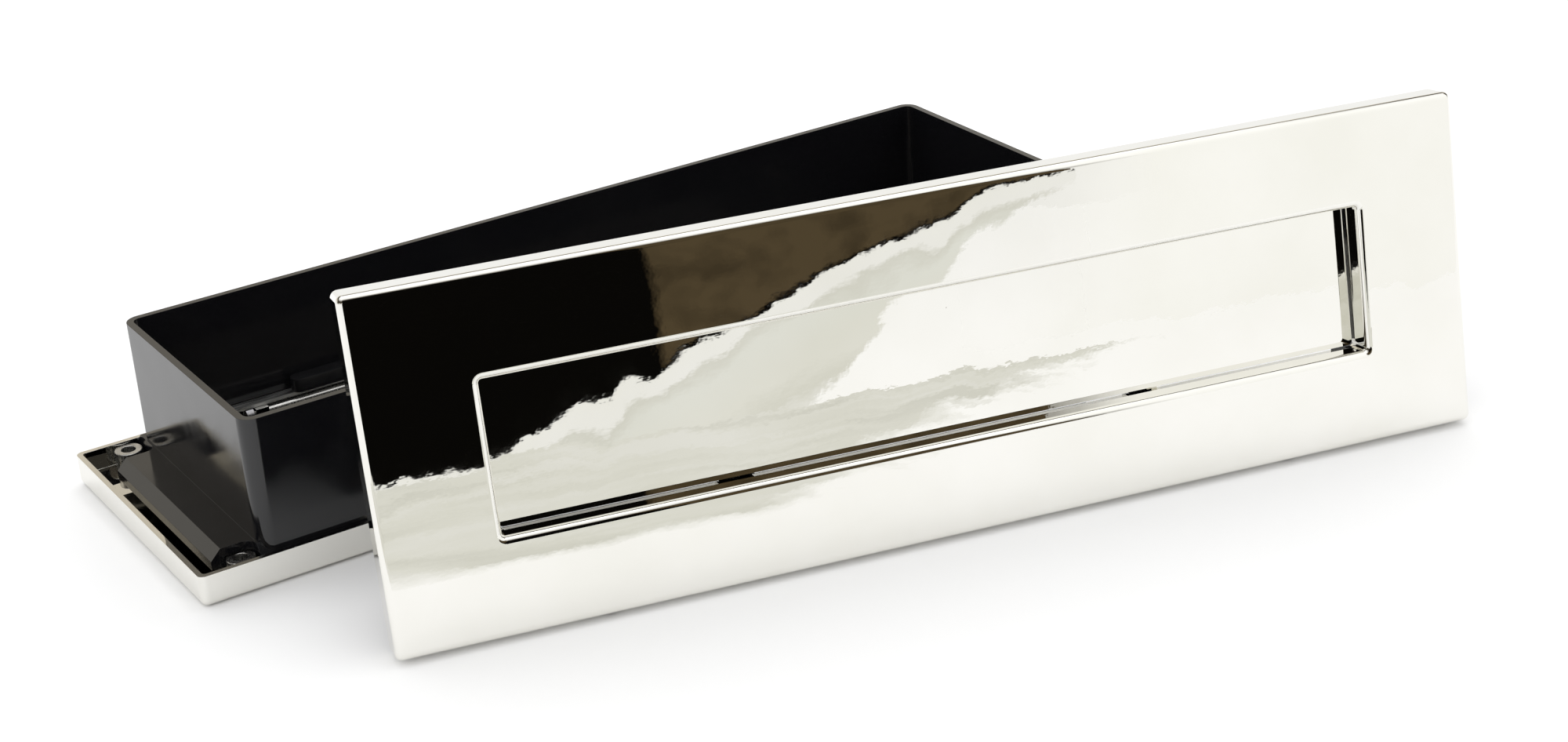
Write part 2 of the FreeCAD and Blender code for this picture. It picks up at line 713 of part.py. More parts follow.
def inner_placement():
    """Stands the inner unit on the back edge of its lower rim, turned towards the front left."""
    lean = lean_angle()
    turn = math.radians(lean)
    height = sheet.get("plate_width") / 2 * math.cos(turn) + sheet.get("plate_depth") * math.sin(turn)
    base = FreeCAD.Vector(sheet.get("stand_x"), sheet.get("stand_y"), height)
    return FreeCAD.Placement(base, FreeCAD.Rotation(180 - sheet.get("stand_yaw"), 0, 90 + lean))


def whole_box(placed):
    """The box round all sub-parts, from their exact shapes."""
    total = FreeCAD.BoundBox()
    for piece in placed:
        total.add(piece.Shape.optimalBoundingBox(False))
    return total


def arrange():
    """Place both units about the centre of the set's footprint."""
    places = [(piece, piece.Placement, FreeCAD.Placement()) for piece in OUTER]
    places += [(piece, piece.Placement, inner_placement()) for piece in INNER]
    for piece, own, unit in places:
        for axis in "xyz":
            piece.setExpression("Placement.Base." + axis, None)
        piece.Placement = unit.multiply(own)
    doc.recompute()
    total = whole_box(OUTER + INNER)
    shift = FreeCAD.Placement(FreeCAD.Vector(-total.Center.x, -total.Center.y, 0), FreeCAD.Rotation())
    for piece, own, unit in places:
        piece.Placement = shift.multiply(unit.multiply(own))
    doc.recompute()
    return shift.Base


def check():
    """Stop if an object failed or a sub-part isn't a sound solid."""
    for thing in doc.Objects:
        if "Invalid" in thing.State or "Error" in thing.State:
            raise RuntimeError(f"{thing.Name} failed: {thing.State}")
    for piece in OUTER + INNER:
        if piece.Shape.isNull() or not piece.Shape.isValid() or not piece.Shape.Solids:
            raise RuntimeError(f"{piece.Label} is not a sound solid")


doc.recompute()
origin = arrange()
check()
for piece in OUTER + INNER:
    piece.Shape.exportStep(f"parts/{piece.Label}.step")
    print(f"{piece.Label}: {len(piece.Shape.Solids)} solids, {piece.Shape.Volume:.0f} cubic mm")
outline = whole_box(OUTER + INNER)
print(f"lean {lean_angle():.4f} degrees, outer plate centre at {origin.x:.4f}, {origin.y:.4f}")
print(f"set {outline.XLength:.1f} x {outline.YLength:.1f} x {outline.ZLength:.1f}")
print(f"base at {outline.ZMin:.3f}")
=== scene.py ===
import json
import math

import bmesh
import bpy
from mathutils import Matrix, Vector

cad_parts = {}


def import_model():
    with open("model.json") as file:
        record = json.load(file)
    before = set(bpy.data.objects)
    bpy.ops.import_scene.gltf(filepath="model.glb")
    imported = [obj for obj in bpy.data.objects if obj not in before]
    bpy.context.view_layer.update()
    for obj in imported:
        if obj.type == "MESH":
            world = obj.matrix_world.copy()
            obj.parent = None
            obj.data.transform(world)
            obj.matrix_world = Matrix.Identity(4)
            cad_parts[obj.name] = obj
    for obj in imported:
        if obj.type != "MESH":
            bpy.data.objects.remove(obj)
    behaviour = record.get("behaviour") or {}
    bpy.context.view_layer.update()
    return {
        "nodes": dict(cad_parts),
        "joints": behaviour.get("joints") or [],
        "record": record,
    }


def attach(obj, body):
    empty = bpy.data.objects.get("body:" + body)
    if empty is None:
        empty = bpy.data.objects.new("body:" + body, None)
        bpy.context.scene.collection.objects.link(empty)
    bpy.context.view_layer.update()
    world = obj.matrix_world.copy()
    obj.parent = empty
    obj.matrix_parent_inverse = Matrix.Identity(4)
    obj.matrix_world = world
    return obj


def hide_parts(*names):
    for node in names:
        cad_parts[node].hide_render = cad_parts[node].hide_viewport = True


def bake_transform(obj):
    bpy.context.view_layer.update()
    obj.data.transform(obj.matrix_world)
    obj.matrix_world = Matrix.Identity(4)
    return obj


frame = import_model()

# Looks of the letter plate set, in the frame's metres.  Shapes that belong to one unit are worked
# out in that unit's own millimetres: X along the plate, +Y to the hinge side, Z from the polished
# face to the back.

MM = 0.001
NODES = frame["nodes"]
BODIES = frame["record"]["behaviour"]["bodies"]

# How near corners are to be welded or to count as on a cutting plane, how little a flat face's parts
# may turn, and how much an edge turns before it is sharp.
WELD = 0.002 * MM
ON_PLANE = 0.0001 * MM
FLAT = math.radians(0.6)
SHARP = math.radians(40)

# In the units' millimetres: where the flaps' front faces lie, the rounding of their outlines, and how
# far up the plate it is carried out.
FLAP_FRONT = 8.0
FLAP_EDGE = 0.6
FLAP_TOP = 20.0

# The rounding of the plates' outlines, and how far in, how deep and in how many strips their faces
# roll off.
PLATE_ROUND = 1.8
ROLL_BAND = 17.0
ROLL_DROP = 0.12
ROLL_STRIPS = 8

# The springs' wire radius and pitch, and the corners round the wire and along one turn.
WIRE = 0.28
PITCH = 2.3 * WIRE
WIRE_SIDES = 8
COIL_STEPS = 16

# The pan screws' shank radius, the corners round a screw, the top of a pan head as shares of its
# radius (out, down), its cross recess as shares of the radius (reach, half width) and of the height
# (depth), and a grub screw's hexagon socket as a share of its radius and of its length.
SHANK = 1.2
SCREW_SIDES = 32
PAN_HEAD = ((0, 0), (0.55, 0.02), (0.82, 0.12), (0.96, 0.32), (1, 0.55))
CROSS_REACH = 0.62
CROSS_HALF = 0.13
CROSS_DEPTH = 0.62
SOCKET = 0.55

# The range that most of a noise's values lie in.
CALM = (0.3, 0.7)


# ---- the two units ----

def named(items, name):
    """The entry of a list that has a name."""
    return next(item for item in items if item["name"] == name)


def extent(points):
    """The lowest and highest corners of a list of points."""
    return tuple(Vector([pick(point[axis] for point in points) for axis in range(3)])
                 for pick in (min, max))


def unit_matrix(plate, x_axis, z_axis):
    """The matrix from a unit's millimetres to metres, with its origin at the centre of its face."""
    x = Vector(x_axis).normalized()
    z = Vector(z_axis).normalized()
    turn = Matrix((x, z.cross(x), z)).transposed()
    low, high = extent([turn.inverted() @ vertex.co for vertex in NODES[plate].data.vertices])
    origin = turn @ Vector(((low.x + high.x) / 2, (low.y + high.y) / 2, low.z))
    return Matrix.Translation(origin) @ turn.to_4x4() @ Matrix.Scale(MM, 4)


OUTER = unit_matrix("outer_frame", (1, 0, 0), (0, 0, 1))
INNER = unit_matrix("inner_frame", named(frame["joints"], "inner_flap_hinge")["axis"],
                    named(frame["record"]["mounts"], "inner_door_face")["axis"])


def unit_of(node):
    """The matrix of the unit that a node belongs to."""
    return OUTER if node.startswith("outer") else INNER


def local_box(node):
    """The lowest and highest corners of a node in its unit's millimetres."""
    back = unit_of(node).inverted()
    return extent([back @ vertex.co for vertex in NODES[node].data.vertices])


def body_of(node):
    """The body that a node rides on."""
    return next(body for body, members in BODIES.items() if node in members)


# ---- node helpers ----

class Nodes:
    """A tree of shader nodes and the coordinates that its textures use."""

    def __init__(self, tree, coordinates):
        self.tree = tree
        self.place = self.add("ShaderNodeTexCoord").outputs[coordinates]

    def add(self, kind, **settings):
        """A new node, with its properties or, where it has none of that name, its inputs set."""
        node = self.tree.nodes.new(kind)
        for word, value in settings.items():
            if hasattr(node, word):
                setattr(node, word, value)
            else:
                node.inputs[word.replace("_", " ").title()].default_value = value
        return node

    def link(self, source, target):
        """Let an output feed an input."""
        self.tree.links.new(source, target)

    def stretched(self, scale):
        """The coordinates, scaled along each axis."""
        node = self.add("ShaderNodeMapping", scale=scale)
        self.link(self.place, node.inputs["Vector"])
        return node.outputs["Vector"]

    def noise(self, scale, detail=3.0, roughness=0.5, distortion=0.0, stretch=None):
        """Noise with a grain of 1 / scale, and stretch times as fine along each axis."""
        node = self.add("ShaderNodeTexNoise", scale=scale, detail=detail, roughness=roughness,
                        distortion=distortion)
        self.link(self.stretched(stretch) if stretch else self.place, node.inputs["Vector"])
        return node.outputs["Fac"]

    def spots(self, scale, size):
        """Small round spots, one in each cell: 1 inside and 0 outside."""
        cells = self.add("ShaderNodeTexVoronoi", scale=scale)
        self.link(self.place, cells.inputs["Vector"])
        return self.ranged(cells.outputs["Distance"], size, 0.0, 0.0, 1.0)

    def ranged(self, value, low, high, start, end):
        """A value mapped from low..high to start..end."""
        node = self.add("ShaderNodeMapRange", from_min=low, from_max=high, to_min=start, to_max=end)
        self.link(value, node.inputs["Value"])
        return node.outputs["Result"]

    def math(self, operation, first, second):
        """A sum, difference, product or maximum of two values or numbers."""
        node = self.add("ShaderNodeMath", operation=operation)
        for socket, value in zip(node.inputs, (first, second)):
            if isinstance(value, (int, float)):
                socket.default_value = value
            else:
                self.link(value, socket)
        return node.outputs[0]

    def axes(self):
        """The three coordinates of a point."""
        split = self.add("ShaderNodeSeparateXYZ")
        self.link(self.place, split.inputs["Vector"])
        return split.outputs["X"], split.outputs["Y"], split.outputs["Z"]

    def ramp(self, value, stops):
        """A colour ramp of (position, colour) stops."""
        node = self.add("ShaderNodeValToRGB")
        while len(node.color_ramp.elements) < len(stops):
            node.color_ramp.elements.new(0.5)
        for element, (position, colour) in zip(node.color_ramp.elements, stops):
            element.position = position
            element.color = (*colour, 1)
        self.link(value, node.inputs["Fac"])
        return node.outputs["Color"]

    def choose(self, factor, first, second):
        """A mix of two colours."""
        node = self.add("ShaderNodeMix", data_type="RGBA")
        self.link(factor, node.inputs["Factor"])
        colours = [socket for socket in node.inputs if socket.type == "RGBA"]
        for socket, value in zip(colours, (first, second)):
            if isinstance(value, tuple):
                socket.default_value = (*value, 1)
            else:
                self.link(value, socket)
        return next(socket for socket in node.outputs if socket.type == "RGBA")

    def layered(self, factor, below, above):
        """A mix of two shader nodes."""
        node = self.add("ShaderNodeMixShader")
        self.link(factor, node.inputs["Fac"])
        for socket, shader in zip(node.inputs[1:], (below, above)):
            self.link(shader.outputs[0], socket)
        return node.outputs["Shader"]


class Finish(Nodes):
    """A procedural material: a principled shader and a chain of bumps."""

    def __init__(self, name, **sockets):
        self.material = bpy.data.materials.new(name)
        self.material.use_nodes = True
        super().__init__(self.material.node_tree, "Object")
        self.shader = self.tree.nodes["Principled BSDF"]
        for word, value in sockets.items():
            self.shader.inputs[word.replace("_", " ")].default_value = value
        self.bumped = None

    def tint(self, value, *colours):
        """Colour the surface by a noise, from the first colour to the last."""
        low, high = CALM
        step = (high - low) / (len(colours) - 1)
        stops = [(low + step * index, colour) for index, colour in enumerate(colours)]
        self.link(self.ramp(value, stops), self.shader.inputs["Base Color"])

    def gloss(self, value, low, high):
        """Vary the roughness by a noise."""
        self.link(self.ranged(value, *CALM, low, high), self.shader.inputs["Roughness"])

    def bump(self, height, depth):
        """Raise the surface by a height, where 1 is the depth in metres."""
        node = self.add("ShaderNodeBump", strength=1.0, distance=depth)
        self.link(height, node.inputs["Height"])
        if self.bumped:
            self.link(self.bumped, node.inputs["Normal"])
        self.bumped = node.outputs["Normal"]
        self.link(self.bumped, self.shader.inputs["Normal"])


# ---- finishes ----

def polished_nickel():
    """Mirror polish: slow waves from the buffing wheel, ripples, hairlines, pits and a warm tint."""
    finish = Finish("polished_nickel", Metallic=1.0)
    finish.tint(finish.noise(35, detail=4), (0.815, 0.805, 0.755), (0.85, 0.84, 0.80))
    finish.gloss(finish.noise(160, detail=5, stretch=(1, 4, 1)), 0.006, 0.02)
    finish.bump(finish.noise(22, detail=1.0, distortion=0.6), 0.00020)
    finish.bump(finish.noise(150, detail=3), 0.000010)
    finish.bump(finish.noise(700, detail=2, stretch=(0.05, 1, 1)), 0.0000012)
    finish.bump(finish.spots(60, 0.012), -0.00004)
    return finish.material


def steel():
    """Drawn steel for rods, bosses and screws: fine lines round the rods."""
    finish = Finish("steel", Metallic=1.0)
    finish.tint(finish.noise(400), (0.50, 0.50, 0.49), (0.66, 0.65, 0.63))
    finish.gloss(finish.noise(900, stretch=(4, 1, 1)), 0.18, 0.34)
    finish.bump(finish.noise(2500, stretch=(4, 1, 1)), 0.000004)
    return finish.material


def spring_steel():
    """Oil-tempered wire, darker and bluish."""
    finish = Finish("spring_steel", Metallic=1.0)
    finish.tint(finish.noise(900), (0.26, 0.26, 0.28), (0.46, 0.45, 0.45))
    finish.gloss(finish.noise(1500), 0.22, 0.4)
    finish.bump(finish.noise(5000), 0.000003)
    return finish.material


def satin_steel():
    """Brushed strip: streaks along its length and soft scratches."""
    finish = Finish("satin_steel", Metallic=1.0, Anisotropic=0.5)
    streaks = finish.noise(2200, detail=4, stretch=(0.03, 1, 1))
    finish.tint(streaks, (0.42, 0.42, 0.42), (0.66, 0.66, 0.65), (0.80, 0.80, 0.79))
    finish.gloss(streaks, 0.24, 0.42)
    finish.bump(streaks, 0.000006)
    finish.bump(finish.noise(300, stretch=(0.5, 1, 1)), 0.00001)
    return finish.material


def dark_steel():
    """Black-oxide screws."""
    finish = Finish("dark_steel", Metallic=1.0)
    finish.tint(finish.noise(700), (0.035, 0.034, 0.033), (0.11, 0.105, 0.10))
    finish.gloss(finish.noise(1200), 0.28, 0.5)
    finish.bump(finish.noise(3000), 0.000006)
    return finish.material


def black_bar():
    """Smooth glossy black plastic with a slight orange peel."""
    finish = Finish("black_bar", IOR=1.5, Coat_Weight=0.4, Coat_Roughness=0.08)
    finish.tint(finish.noise(200), (0.004, 0.004, 0.005), (0.009, 0.009, 0.010))
    finish.gloss(finish.noise(500), 0.10, 0.2)
    finish.bump(finish.noise(900, detail=2), 0.000008)
    return finish.material


def black_plastic():
    """Injection-moulded black plastic: flow marks, sink waves, fine scuffs and specks of dust."""
    finish = Finish("black_plastic", IOR=1.53, Specular_IOR_Level=0.55)
    patches = finish.ranged(finish.noise(60, detail=2), 0.56, 0.6, 0.0, 1.0)
    dust = finish.math("MULTIPLY", finish.spots(420, 0.035), patches)
    finish.link(finish.ramp(dust, [(0.0, (0.0055, 0.0055, 0.0065)), (0.6, (0.22, 0.22, 0.22))]),
                finish.shader.inputs["Base Color"])
    finish.gloss(finish.noise(30, detail=5, distortion=1.0), 0.06, 0.17)
    finish.bump(finish.noise(45, detail=1), 0.00012)
    finish.bump(finish.noise(1100, detail=3, stretch=(1, 1, 0.15)), 0.0000025)
    finish.bump(dust, 0.00003)
    return finish.material


def rubber():
    """Matt rubber pads."""
    finish = Finish("rubber", IOR=1.5)
    finish.tint(finish.noise(500), (0.012, 0.012, 0.012), (0.035, 0.034, 0.033))
    finish.gloss(finish.noise(900), 0.55, 0.8)
    finish.bump(finish.noise(2200), 0.00003)
    return finish.material


SLOTS = {make.__name__: make() for make in (polished_nickel, steel, spring_steel, satin_steel,
                                            dark_steel, black_bar, black_plastic, rubber)}


# ---- pieces made from the CAD nodes ----

def placed(name, data):
    """A new object in the scene."""
    piece = bpy.data.objects.new(name, data)
    bpy.context.scene.collection.objects.link(piece)
    return piece


def mesh_of(name, shape):
    """A mesh from a bmesh, which is freed."""
    mesh = bpy.data.meshes.new(name)
    shape.to_mesh(mesh)
    shape.free()
    return mesh


def welded(node):
    """A bmesh of a CAD node with its corners welded."""
    shape = bmesh.new()
    shape.from_mesh(NODES[node].data)
    bmesh.ops.remove_doubles(shape, verts=shape.verts, dist=WELD)
    return shape


def shown(node, mesh, slot, rides=True):
    """A piece with its finish that stands for a CAD node, and as a rule rides on the node's body."""
    mesh.materials.clear()
    mesh.materials.append(SLOTS[slot])
    piece = placed(node + "_look", mesh)
    if rides:
        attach(piece, body_of(node))
    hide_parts(node)
    return piece


def soften(piece, width):
    """Break a piece's sharp edges, and keep its flat faces flat in the shading."""
    bevel = piece.modifiers.new("edges", "BEVEL")
    bevel.width = width * MM
    bevel.segments = 2
    bevel.limit_method = "ANGLE"
    bevel.angle_limit = math.radians(35)
    weighted = piece.modifiers.new("normals", "WEIGHTED_NORMAL")
    weighted.keep_sharp = True
    weighted.weight = 100


def crisp(shape, node):
    """Carry a flap's flat front out to its outline, as polishing leaves it."""
    unit = unit_of(node)
    back = unit.inverted()
    play = 0.02
    for vertex in shape.verts:
        point = back @ vertex.co
        if point.y < FLAP_TOP and FLAP_FRONT + play < point.z < FLAP_FRONT + FLAP_EDGE - play:
            point.z = FLAP_FRONT
            vertex.co = unit @ point


def rolled(shape, node):
    """Let a plate's face roll off a little towards its outline."""
    unit = unit_of(node)
    back = unit.inverted()
    reach = local_box(node)[1]
    for half, across in ((reach.x, Vector((1, 0, 0))), (reach.y, Vector((0, 1, 0)))):
        for step in range(1, ROLL_STRIPS + 1):
            for side in (-1, 1):
                faces = [face for face in shape.faces
                         if all((back @ vertex.co).z < PLATE_ROUND for vertex in face.verts)]
                edges = {edge for face in faces for edge in face.edges}
                corners = {vertex for face in faces for vertex in face.verts}
                place = across * side * (half - ROLL_BAND * step / ROLL_STRIPS)
                bmesh.ops.bisect_plane(shape, geom=[*faces, *edges, *corners], dist=ON_PLANE,
                                       plane_co=unit @ place, plane_no=unit.to_3x3() @ across)
    for vertex in shape.verts:
        point = back @ vertex.co
        if point.z < PLATE_ROUND:
            inwards = min(reach.x - abs(point.x), reach.y - abs(point.y))
            near = max(1 - inwards / ROLL_BAND, 0)
            point.z += ROLL_DROP * near ** 2 * (1 - point.z / PLATE_ROUND)
            vertex.co = unit @ point


def traced(node):
    """A clean mesh of a CAD node: welded, with its flat faces whole and smooth shading."""
    shape = welded(node)
    if node.endswith("_flap"):
        crisp(shape, node)
    bmesh.ops.dissolve_limit(shape, angle_limit=FLAT, verts=shape.verts, edges=shape.edges)
    if node.endswith("_frame"):
        rolled(shape, node)
    for face in shape.faces:
        face.smooth = True
    return mesh_of(node + "_look", shape)


def finished(node, slot, edge):
    """Show a CAD node's shape with its finish and with broken edges."""
    soften(shown(node, traced(node), slot), edge)


# ---- turned shapes ----

def ring(shape, centre, across, side, radius, sides):
    """Corners round a centre."""
    turns = [2 * math.pi * step / sides for step in range(sides)]
    return [shape.verts.new(centre + (across * math.cos(turn) + side * math.sin(turn)) * radius)
            for turn in turns]


def skin(shape, rings, sides):
    """Smooth faces between rings, where a ring of one corner is a pole."""
    for first, second in zip(rings, rings[1:]):
        for step in range(sides):
            after = (step + 1) % sides
            corners = (first[step % len(first)], first[after % len(first)],
                       second[after % len(second)], second[step % len(second)])
            shape.faces.new(list(dict.fromkeys(corners))).smooth = True


# ---- springs ----

def wire(name, path):
    """A round wire along a list of points, closed at both ends."""
    shape = bmesh.new()
    rings = []
    side = (path[1] - path[0]).normalized().orthogonal()
    for index, point in enumerate(path):
        ahead = path[min(index + 1, len(path) - 1)] - path[max(index - 1, 0)]
        ahead.normalize()
        side = (side - ahead * side.dot(ahead)).normalized()
        rings.append(ring(shape, point, side, ahead.cross(side), WIRE * MM, WIRE_SIDES))
    skin(shape, rings, WIRE_SIDES)
    shape.faces.new(list(reversed(rings[0])))
    shape.faces.new(rings[-1])
    return mesh_of(name, shape)


def spring(node, frame_foot, flap_reach, flap_bend, flap_drop):
    """A torsion spring in the space of its CAD solid, with one leg on the frame and one on the flap.

    frame_foot is the depth at which the frame leg stands, flap_reach how far the other leg runs
    towards the flap, and flap_bend and flap_drop how far it steps sideways and down onto it."""
    low, high = local_box(node)
    unit = unit_of(node)
    centre_y = (low.y + high.y) / 2
    centre_z = (low.z + high.z) / 2
    radius = (high.z - low.z) / 2 - WIRE
    inwards = 1 if low.x < 0 else -1
    start = low.x + WIRE if inwards > 0 else high.x - WIRE
    length = high.x - low.x - 2 * WIRE
    turns = int(length / PITCH) + 0.25
    coil = []
    for step in range(int(turns * COIL_STEPS) + 1):
        turn = step / COIL_STEPS
        angle = 2 * math.pi * turn
        coil.append(Vector((start + inwards * length * turn / turns,
                            centre_y + radius * math.cos(angle), centre_z + radius * math.sin(angle))))
    end = coil[-1]
    frame_leg = [Vector((start, centre_y + radius, centre_z + (frame_foot - centre_z) * share))
                 for share in (1, 0.5, 0.15)]
    flap_leg = [Vector((end.x, end.y - flap_reach * share, end.z)) for share in (0.1, 0.3, 0.5)]
    flap_leg += [Vector((end.x + inwards * flap_bend * share, end.y - flap_reach * (0.5 + share / 2),
                         end.z - flap_drop * share)) for share in (0.4, 1)]
    mesh = wire(node + "_look", [unit @ point for point in frame_leg + coil + flap_leg])
    piece = shown(node, mesh, "spring_steel", rides=False)
    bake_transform(piece)


# ---- screws ----

def lathed(shape, profile, place, up, across):
    """A turned solid about an axis: profile is a list of (radius, height) from pole to pole."""
    rings = [ring(shape, place + up * height, across, across.cross(up), radius,
                  SCREW_SIDES if radius else 1) for radius, height in profile]
    skin(shape, rings, SCREW_SIDES)


def prism(shape, outline, place, up, across, low, high):
    """A solid with a flat outline between two heights."""
    side = across.cross(up)
    ends = [[shape.verts.new(place + up * height + across * x + side * y) for x, y in outline]
            for height in (low, high)]
    for end in ends:
        shape.faces.new(end)
    for index in range(len(outline)):
        after = (index + 1) % len(outline)
        shape.faces.new((ends[0][index], ends[0][after], ends[1][after], ends[1][index]))


def cross_outline(reach, half):
    """The outline of a cross recess: three corners, turned to each of its four arms."""
    points = []
    for cosine, sine in ((1, 0), (0, 1), (-1, 0), (0, -1)):
        points += [(x * cosine - y * sine, x * sine + y * cosine)
                   for x, y in ((reach, -half), (reach, half), (half, half))]
    return points


def hex_outline(radius):
    """The outline of a hexagon socket."""
    return [(radius * math.cos(math.radians(60 * side)), radius * math.sin(math.radians(60 * side)))
            for side in range(6)]


def loose_solids(node):
    """The lowest and highest corners of a CAD node's loose solids, in order along the plate."""
    back = unit_of(node).inverted()
    shape = welded(node)
    left = set(shape.verts)
    boxes = []
    while left:
        group = [left.pop()]
        for vertex in group:
            for edge in vertex.link_edges:
                other = edge.other_vert(vertex)
                if other in left:
                    left.remove(other)
                    group.append(other)
        boxes.append(extent([back @ vertex.co for vertex in group]))
    shape.free()
    return sorted(boxes, key=lambda box: tuple(box[0] + box[1]))


def driven(node, slot, solids, recesses):
    """Show a node's screws, less the recesses for their driver."""
    for shape in (solids, recesses):
        bmesh.ops.recalc_face_normals(shape, faces=shape.faces)
    screws = placed("screws", mesh_of(node + "_look", solids))
    tool = placed("tool", mesh_of(node + "_tool", recesses))
    cut = screws.modifiers.new("cut", "BOOLEAN")
    cut.operation = "DIFFERENCE"
    cut.solver = "EXACT"
    cut.object = tool
    graph = bpy.context.evaluated_depsgraph_get()
    mesh = bpy.data.meshes.new_from_object(screws.evaluated_get(graph))
    bpy.data.objects.remove(screws)
    bpy.data.objects.remove(tool)
    mesh.transform(unit_of(node))
    for face in mesh.polygons:
        face.use_smooth = True
    mesh.set_sharp_from_angle(angle=SHARP)
    shown(node, mesh, slot)


def pan_screws(node, slot, head_height, turns):
    """Pan-head screws with a cross recess, each turned a little differently, on a node's solids."""
    solids, recesses = bmesh.new(), bmesh.new()
    up = Vector((0, 0, 1))
    for (low, high), turn in zip(loose_solids(node), turns):
        radius = (high.x - low.x) / 2
        depth = high.z - low.z
        top = (low + high) / 2
        top.z = high.z
        across = Vector((math.cos(turn), math.sin(turn), 0))
        profile = [(out * radius, -down * radius) for out, down in PAN_HEAD]
        profile += [(radius, -head_height), (SHANK, -head_height), (SHANK, SHANK - depth), (0, -depth)]
        lathed(solids, profile, top, up, across)
        prism(recesses, cross_outline(radius * CROSS_REACH, radius * CROSS_HALF), top, up, across,
              -head_height * CROSS_DEPTH, 1.0)
    driven(node, slot, solids, recesses)


def grub_screws(node, slot):
    """Grub screws with a hexagon socket in their outer ends, which face down the unit."""
    solids, recesses = bmesh.new(), bmesh.new()
    down, across = Vector((0, -1, 0)), Vector((1, 0, 0))
    for low, high in loose_solids(node):
        radius = (high.x - low.x) / 2
        length = high.y - low.y
        end = (low + high) / 2
        end.y = low.y
        profile = [(0, 0), (radius * 0.8, 0), (radius, radius * -0.2),
                   (radius, radius * 0.25 - length), (radius * 0.7, -length), (0, -length)]
        lathed(solids, profile, end, down, across)
        prism(recesses, hex_outline(radius * SOCKET), end, down, across, -length * SOCKET, 1.0)
    driven(node, slot, solids, recesses)


# ---- the object ----

for unit in ("outer", "inner"):
    finished(unit + "_frame", "polished_nickel", 0.3)
    finished(unit + "_flap", "polished_nickel", 0.2)
    finished(unit + "_hinge_rod", "steel", 0.25)
    finished(unit + "_rod_clips", "spring_steel", 0.2)
    finished(unit + "_flap_buffers", "rubber", 0.4)
    finished(unit + "_sleeve", "black_plastic", 0.3)
finished("outer_threaded_bosses", "steel", 0.25)
finished("outer_hinge_bracket", "satin_steel", 0.15)
finished("outer_hinge_bar", "black_bar", 0.5)
for side in ("left", "right"):
    spring(f"outer_flap_spring_{side}", 3.4, 7.0, 3.0, 0.94)
    spring(f"inner_flap_spring_{side}", 3.4, 5.0, -3.0, 0.35)
pan_screws("outer_sleeve_screws", "dark_steel", 1.8, (0.3, 1.1, 0.75, 0.1))
pan_screws("outer_bracket_screws", "steel", 1.4, (0.5, 1.2))
grub_screws("inner_grub_screws", "dark_steel")


# ---- the studio ----

def sheet(name, corners, material):
    """A flat staged sheet."""
    mesh = bpy.data.meshes.new(name)
    mesh.from_pydata(corners, [], [(0, 1, 2, 3)])
    mesh.materials.append(material)
    piece = placed(name, mesh)
    return piece


def rectangle(left, right, front, back, foot, top):
    """The corners of a rectangle: its front edge is at its foot and its back edge at its top."""
    return [(left, front, foot), (right, front, foot), (right, back, top), (left, back, top)]


class Card(Finish):
    """A card that only reflections see: a glow over a clear ground."""

    def rise(self, value, start, slope):
        """A straight slope that is 0 where the value is at its start."""
        return self.math("MULTIPLY", self.math("SUBTRACT", value, start), slope)

    def wander(self, reach, scale, detail, stretch=None):
        """A noise of a reach either way."""
        return self.rise(self.noise(scale, detail, 0.6, stretch=stretch), 0.5, 2 * reach)

    def show(self, colour, cover, corners):
        """Stage the card, glowing in a colour where the cover is 1 and clear where it is 0."""
        glow = self.add("ShaderNodeEmission")
        self.link(colour, glow.inputs["Color"])
        blend = self.layered(cover, self.add("ShaderNodeBsdfTransparent"), glow)
        output = next(node for node in self.tree.nodes if node.type == "OUTPUT_MATERIAL")
        self.link(blend, output.inputs["Surface"])
        piece = sheet(self.material.name, corners, self.material)
        for ray in ("camera", "diffuse", "transmission", "volume_scatter", "shadow"):
            setattr(piece, "visible_" + ray, False)


def floor():
    """A wide plain white floor, a hair below the object."""
    reach = 6.0
    drop = 0.0002
    white = Finish("floor_white", Specular_IOR_Level=0.0, Roughness=1.0,
                   Base_Color=(0.97, 0.97, 0.97, 1))
    piece = sheet("floor", rectangle(-reach, reach, -reach, reach, 0, 0), white.material)
    piece.location.z = -drop


